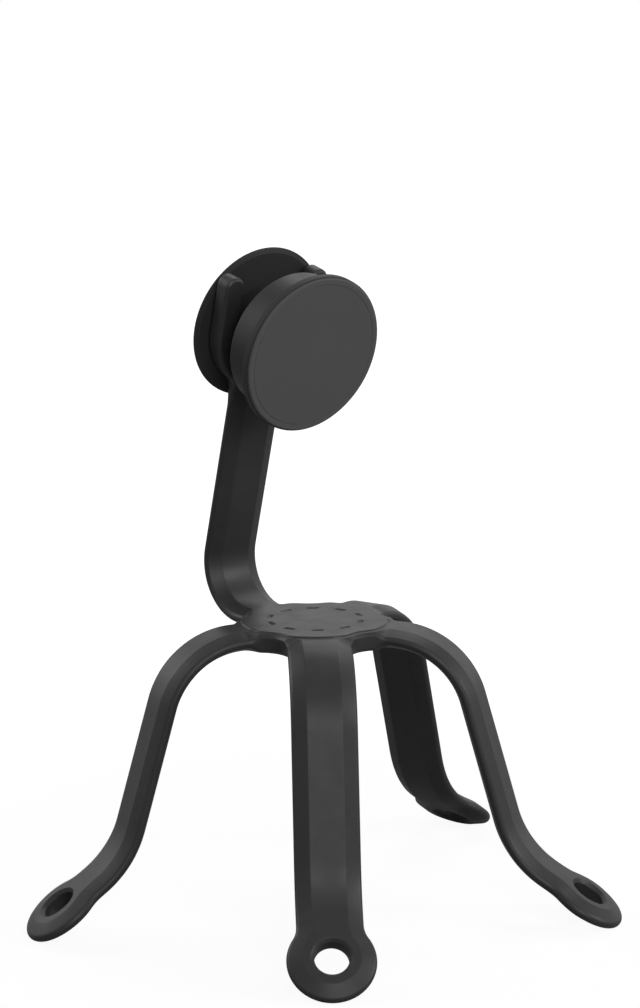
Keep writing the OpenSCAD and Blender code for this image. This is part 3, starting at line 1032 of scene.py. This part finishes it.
# %% Button and face
ring_r = bellows_r - bellows_wall - seat_gap
ring_low = button_back - bellows_wall
floor_z = grip_h - face_t - seat_gap
pale_front_depth = 0.3
rim_rounding = 0.3
front_axis = (in_grip(0, 0, 1) - in_grip(0, 0, 0)).normalized()
painted_shade_edge = in_grip(0, 0, grip_h - pale_front_depth)
# The button's sides take the dark grey as painted shade; beyond the plane its front takes the
# face's grey.
button_plastic_painted_shade = plastic(
    "button_plastic_painted_shade", (0.022, 0.022, 0.023), 0.5, 0.004 * MM, 5200,
    front=(paint_grey, painted_shade_edge, front_axis),
)
button = turned("button", [
    (0, button_back, 0), (ring_r - w, button_back, fine_edge), (ring_r - w, ring_low, fine_edge),
    (ring_r, ring_low, fine_edge), (ring_r, button_back, fine_edge),
    (button_r - button_bevel, button_back, rim_rounding),
    (button_r, button_back + button_bevel, rim_rounding),
    (button_r, grip_h - button_bevel, rim_rounding),
    (button_r - button_bevel, grip_h, rim_rounding),
    (face_r, grip_h, fine_edge), (face_r, floor_z, fine_edge), (0, floor_z, 0),
], button_plastic_painted_shade, "grip", closed=False)
face = turned("face_insert", [
    (0, grip_h - face_t, 0), (face_r - seat_gap, grip_h - face_t, fine_edge),
    (face_r - seat_gap, grip_h, fine_edge), (0, grip_h, 0),
], face_paint, "face", closed=False)
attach(button, "grip_button")
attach(face, "grip_button")
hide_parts("grip_button")
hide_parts("grip_face")
print("button and face:", len(button.data.polygons), len(face.data.polygons), "faces")

# %% [markdown]
# ## The anchor plate
# The plate that the wires end in is hidden in the hub. Its solid already has the right
# shape, so it only gets a finish.

# %% Anchor finish
anchor = frame["nodes"]["hub_anchor"]
anchor.data.materials.clear()
anchor.data.materials.append(core_plastic)

# %% [markdown]
# ## Camera
# The picture was taken with a long lens from the front left, a little above the hub. The
# camera's place is given round the hub's axis, because that is how it was found.

# %% Camera
view_distance, view_height = 664.8, 232.67
view_azimuth = -128.98
view_swing, view_drop, view_roll = 0.12, 11.53, 0.4
focal_px, image_h = 2908.97, 1008
sensor = 36

toward = Vector((-cos(view_azimuth), -sin(view_azimuth), 0))
rightward = Vector((toward.y, -toward.x, 0))
forward = (toward * cos(view_swing) + rightward * sin(view_swing)) * cos(view_drop)
forward.z = -sin(view_drop)
level = rightward * cos(view_swing) - toward * sin(view_swing)
down = forward.cross(level)
right = level * cos(view_roll) + down * sin(view_roll)
camera_place = Vector((hub_place.x, hub_place.y, view_height)) - toward * view_distance

camera_data = bpy.data.cameras.new("camera")
camera_data.sensor_width = sensor
camera_data.lens = focal_px / image_h * sensor
camera = bpy.data.objects.new("camera", camera_data)
up = -forward.cross(right)
camera.matrix_world = Matrix.Translation(camera_place * MM) @ Matrix(
    (right, up, -forward)
).transposed().to_4x4()
bpy.context.scene.collection.objects.link(camera)
bpy.context.scene.camera = camera
print("camera at", [round(v, 1) for v in camera_place])

# %% [markdown]
# ## Studio
# A product shot on white. The key lamp stands close to the camera, a little to its right:
# black silicone shows its form by sheen, and from there the flat bands shine while the
# sloping shoulders fall off dark. A side lamp adds to it on the grip's front. The top lamp
# stands high behind the object, where the hub's level top mirrors it softly. A back lamp
# lights the far side, and the world adds a dim fill. Together they light a facing grey
# about as it is written. The white behind the object is only for the camera's own rays and
# for reflections, so it adds no light to the object.

# %% Lamps
def lamp(name, azimuth, elevation, distance, size, level):
    """A square soft lamp that lights a facing surface to a share of its plain level."""
    data = bpy.data.lights.new(name, "AREA")
    data.shape = "SQUARE"
    data.size = size
    data.energy = level * math.pi**2 * distance**2
    obj = bpy.data.objects.new(name, data)
    middle_height = 0.08
    away = Vector((sin(azimuth) * cos(elevation), -cos(azimuth) * cos(elevation), sin(elevation)))
    obj.location = Vector((0, 0, middle_height)) + away * distance
    obj.rotation_mode = "QUATERNION"
    obj.rotation_quaternion = (-away).to_track_quat("-Z", "Y")
    bpy.context.scene.collection.objects.link(obj)


lamp("key", azimuth=-24, elevation=24, distance=1.3, size=0.7, level=0.6)
lamp("side", azimuth=40, elevation=22, distance=1.3, size=0.5, level=0.5)
lamp("top", azimuth=125, elevation=55, distance=1.1, size=0.6, level=0.28)
lamp("back", azimuth=205, elevation=30, distance=1.3, size=0.7, level=0.35)

# %% World and floor
def seen_directly(graph):
    """1 for the camera's own rays, and for what is mirrored or seen through glass."""
    rays = graph.node("ShaderNodeLightPath")
    outputs = rays.socket.node.outputs
    camera_ray = Wire(graph, outputs["Is Camera Ray"])
    glossy_ray = Wire(graph, outputs["Is Glossy Ray"])
    clear_ray = Wire(graph, outputs["Is Transmission Ray"])
    return graph.node("ShaderNodeMath", {"operation": "MINIMUM"}, {
        0: camera_ray + glossy_ray + clear_ray, 1: 1.0,
    })


def white_world(fill):
    graph = Graph(bpy.context.scene.world.node_tree)
    light = graph.node("ShaderNodeBackground", None, {"Color": (1, 1, 1, 1), "Strength": fill})
    white = graph.node("ShaderNodeBackground", None, {"Color": (1, 1, 1, 1), "Strength": 1.0})
    graph.finish(graph.node("ShaderNodeMixShader", None, {
        0: seen_directly(graph), 1: light, 2: white,
    }))


def pale_floor(size, shown_r, grey, white_share, white_strength):
    """A pale floor that keeps the shadow near the object and turns white further out.

    Matt grey lit by the lamps and plain white are mixed for the camera. The strength of
    the white makes up for the grey, so that an unshadowed place near the object is white.
    """
    mesh = bpy.data.meshes.new("floor")
    s = size / 2
    mesh.from_pydata([(-s, -s, 0), (s, -s, 0), (s, s, 0), (-s, s, 0)], [], [(0, 1, 2, 3)])
    obj = bpy.data.objects.new("floor", mesh)
    bpy.context.scene.collection.objects.link(obj)
    material, graph = new_finish("floor")
    from_middle = graph.node("ShaderNodeVectorMath", {"operation": "LENGTH"}, {
        0: graph.places(),
    }, output="Value")
    far = graph.node("ShaderNodeMapRange", {"interpolation_type": "SMOOTHSTEP"}, {
        "Value": from_middle, "From Min": shown_r * 0.5, "From Max": shown_r,
    })
    matt = graph.node("ShaderNodeBsdfDiffuse", None, {"Color": (grey, grey, grey, 1)})
    white = graph.node("ShaderNodeEmission", None, {
        "Color": (1, 1, 1, 1), "Strength": white_strength,
    })
    rays = graph.node("ShaderNodeLightPath", output="Is Camera Ray")
    shown = rays * (white_share + (1 - white_share) * far)
    graph.finish(graph.node("ShaderNodeMixShader", None, {0: shown, 1: matt, 2: white}))
    obj.data.materials.append(material)


white_world(fill=0.12)
pale_floor(size=4.0, shown_r=0.25, grey=0.4, white_share=0.8, white_strength=1.16)
bpy.context.scene.view_settings.view_transform = "Standard"
